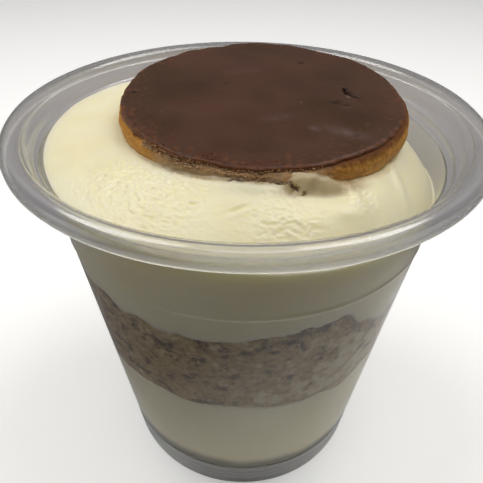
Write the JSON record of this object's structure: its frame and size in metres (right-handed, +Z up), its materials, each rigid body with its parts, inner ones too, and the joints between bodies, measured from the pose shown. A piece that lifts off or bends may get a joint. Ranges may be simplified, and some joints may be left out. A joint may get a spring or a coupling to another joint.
{
  "type": "cheesecake pot",
  "caption": "Layered cheesecake in a clear rimmed cup: cream, a band of biscuit crumbs, a dome of cream, and a round biscuit topped with dark chocolate.",
  "frame": {"origin": "middle of the cup's foot, on the surface that it stands on", "axes": "+Z up along the cup's axis; -Y is the front, where the biscuit leans down a little; +X is the right, where the cream is lowest"},
  "size_m": [0.095, 0.095, 0.0921],
  "materials": {
    "clear_plastic": "clear thin moulded plastic, glossy",
    "cheesecake_cream": "soft satin cream, pale yellow",
    "biscuit_crumb": "rough damp crumbs, brown",
    "baked_biscuit": "matt baked biscuit, golden brown",
    "dark_chocolate": "satin set chocolate, dark brown"
  },
  "bodies": {
    "root": {"cup": "clear_plastic", "cream_lower": "cheesecake_cream", "crumb_layer": "biscuit_crumb", "cream_upper": "cheesecake_cream", "biscuit": "baked_biscuit", "chocolate_top": "dark_chocolate"}
  },
  "joints": []
}
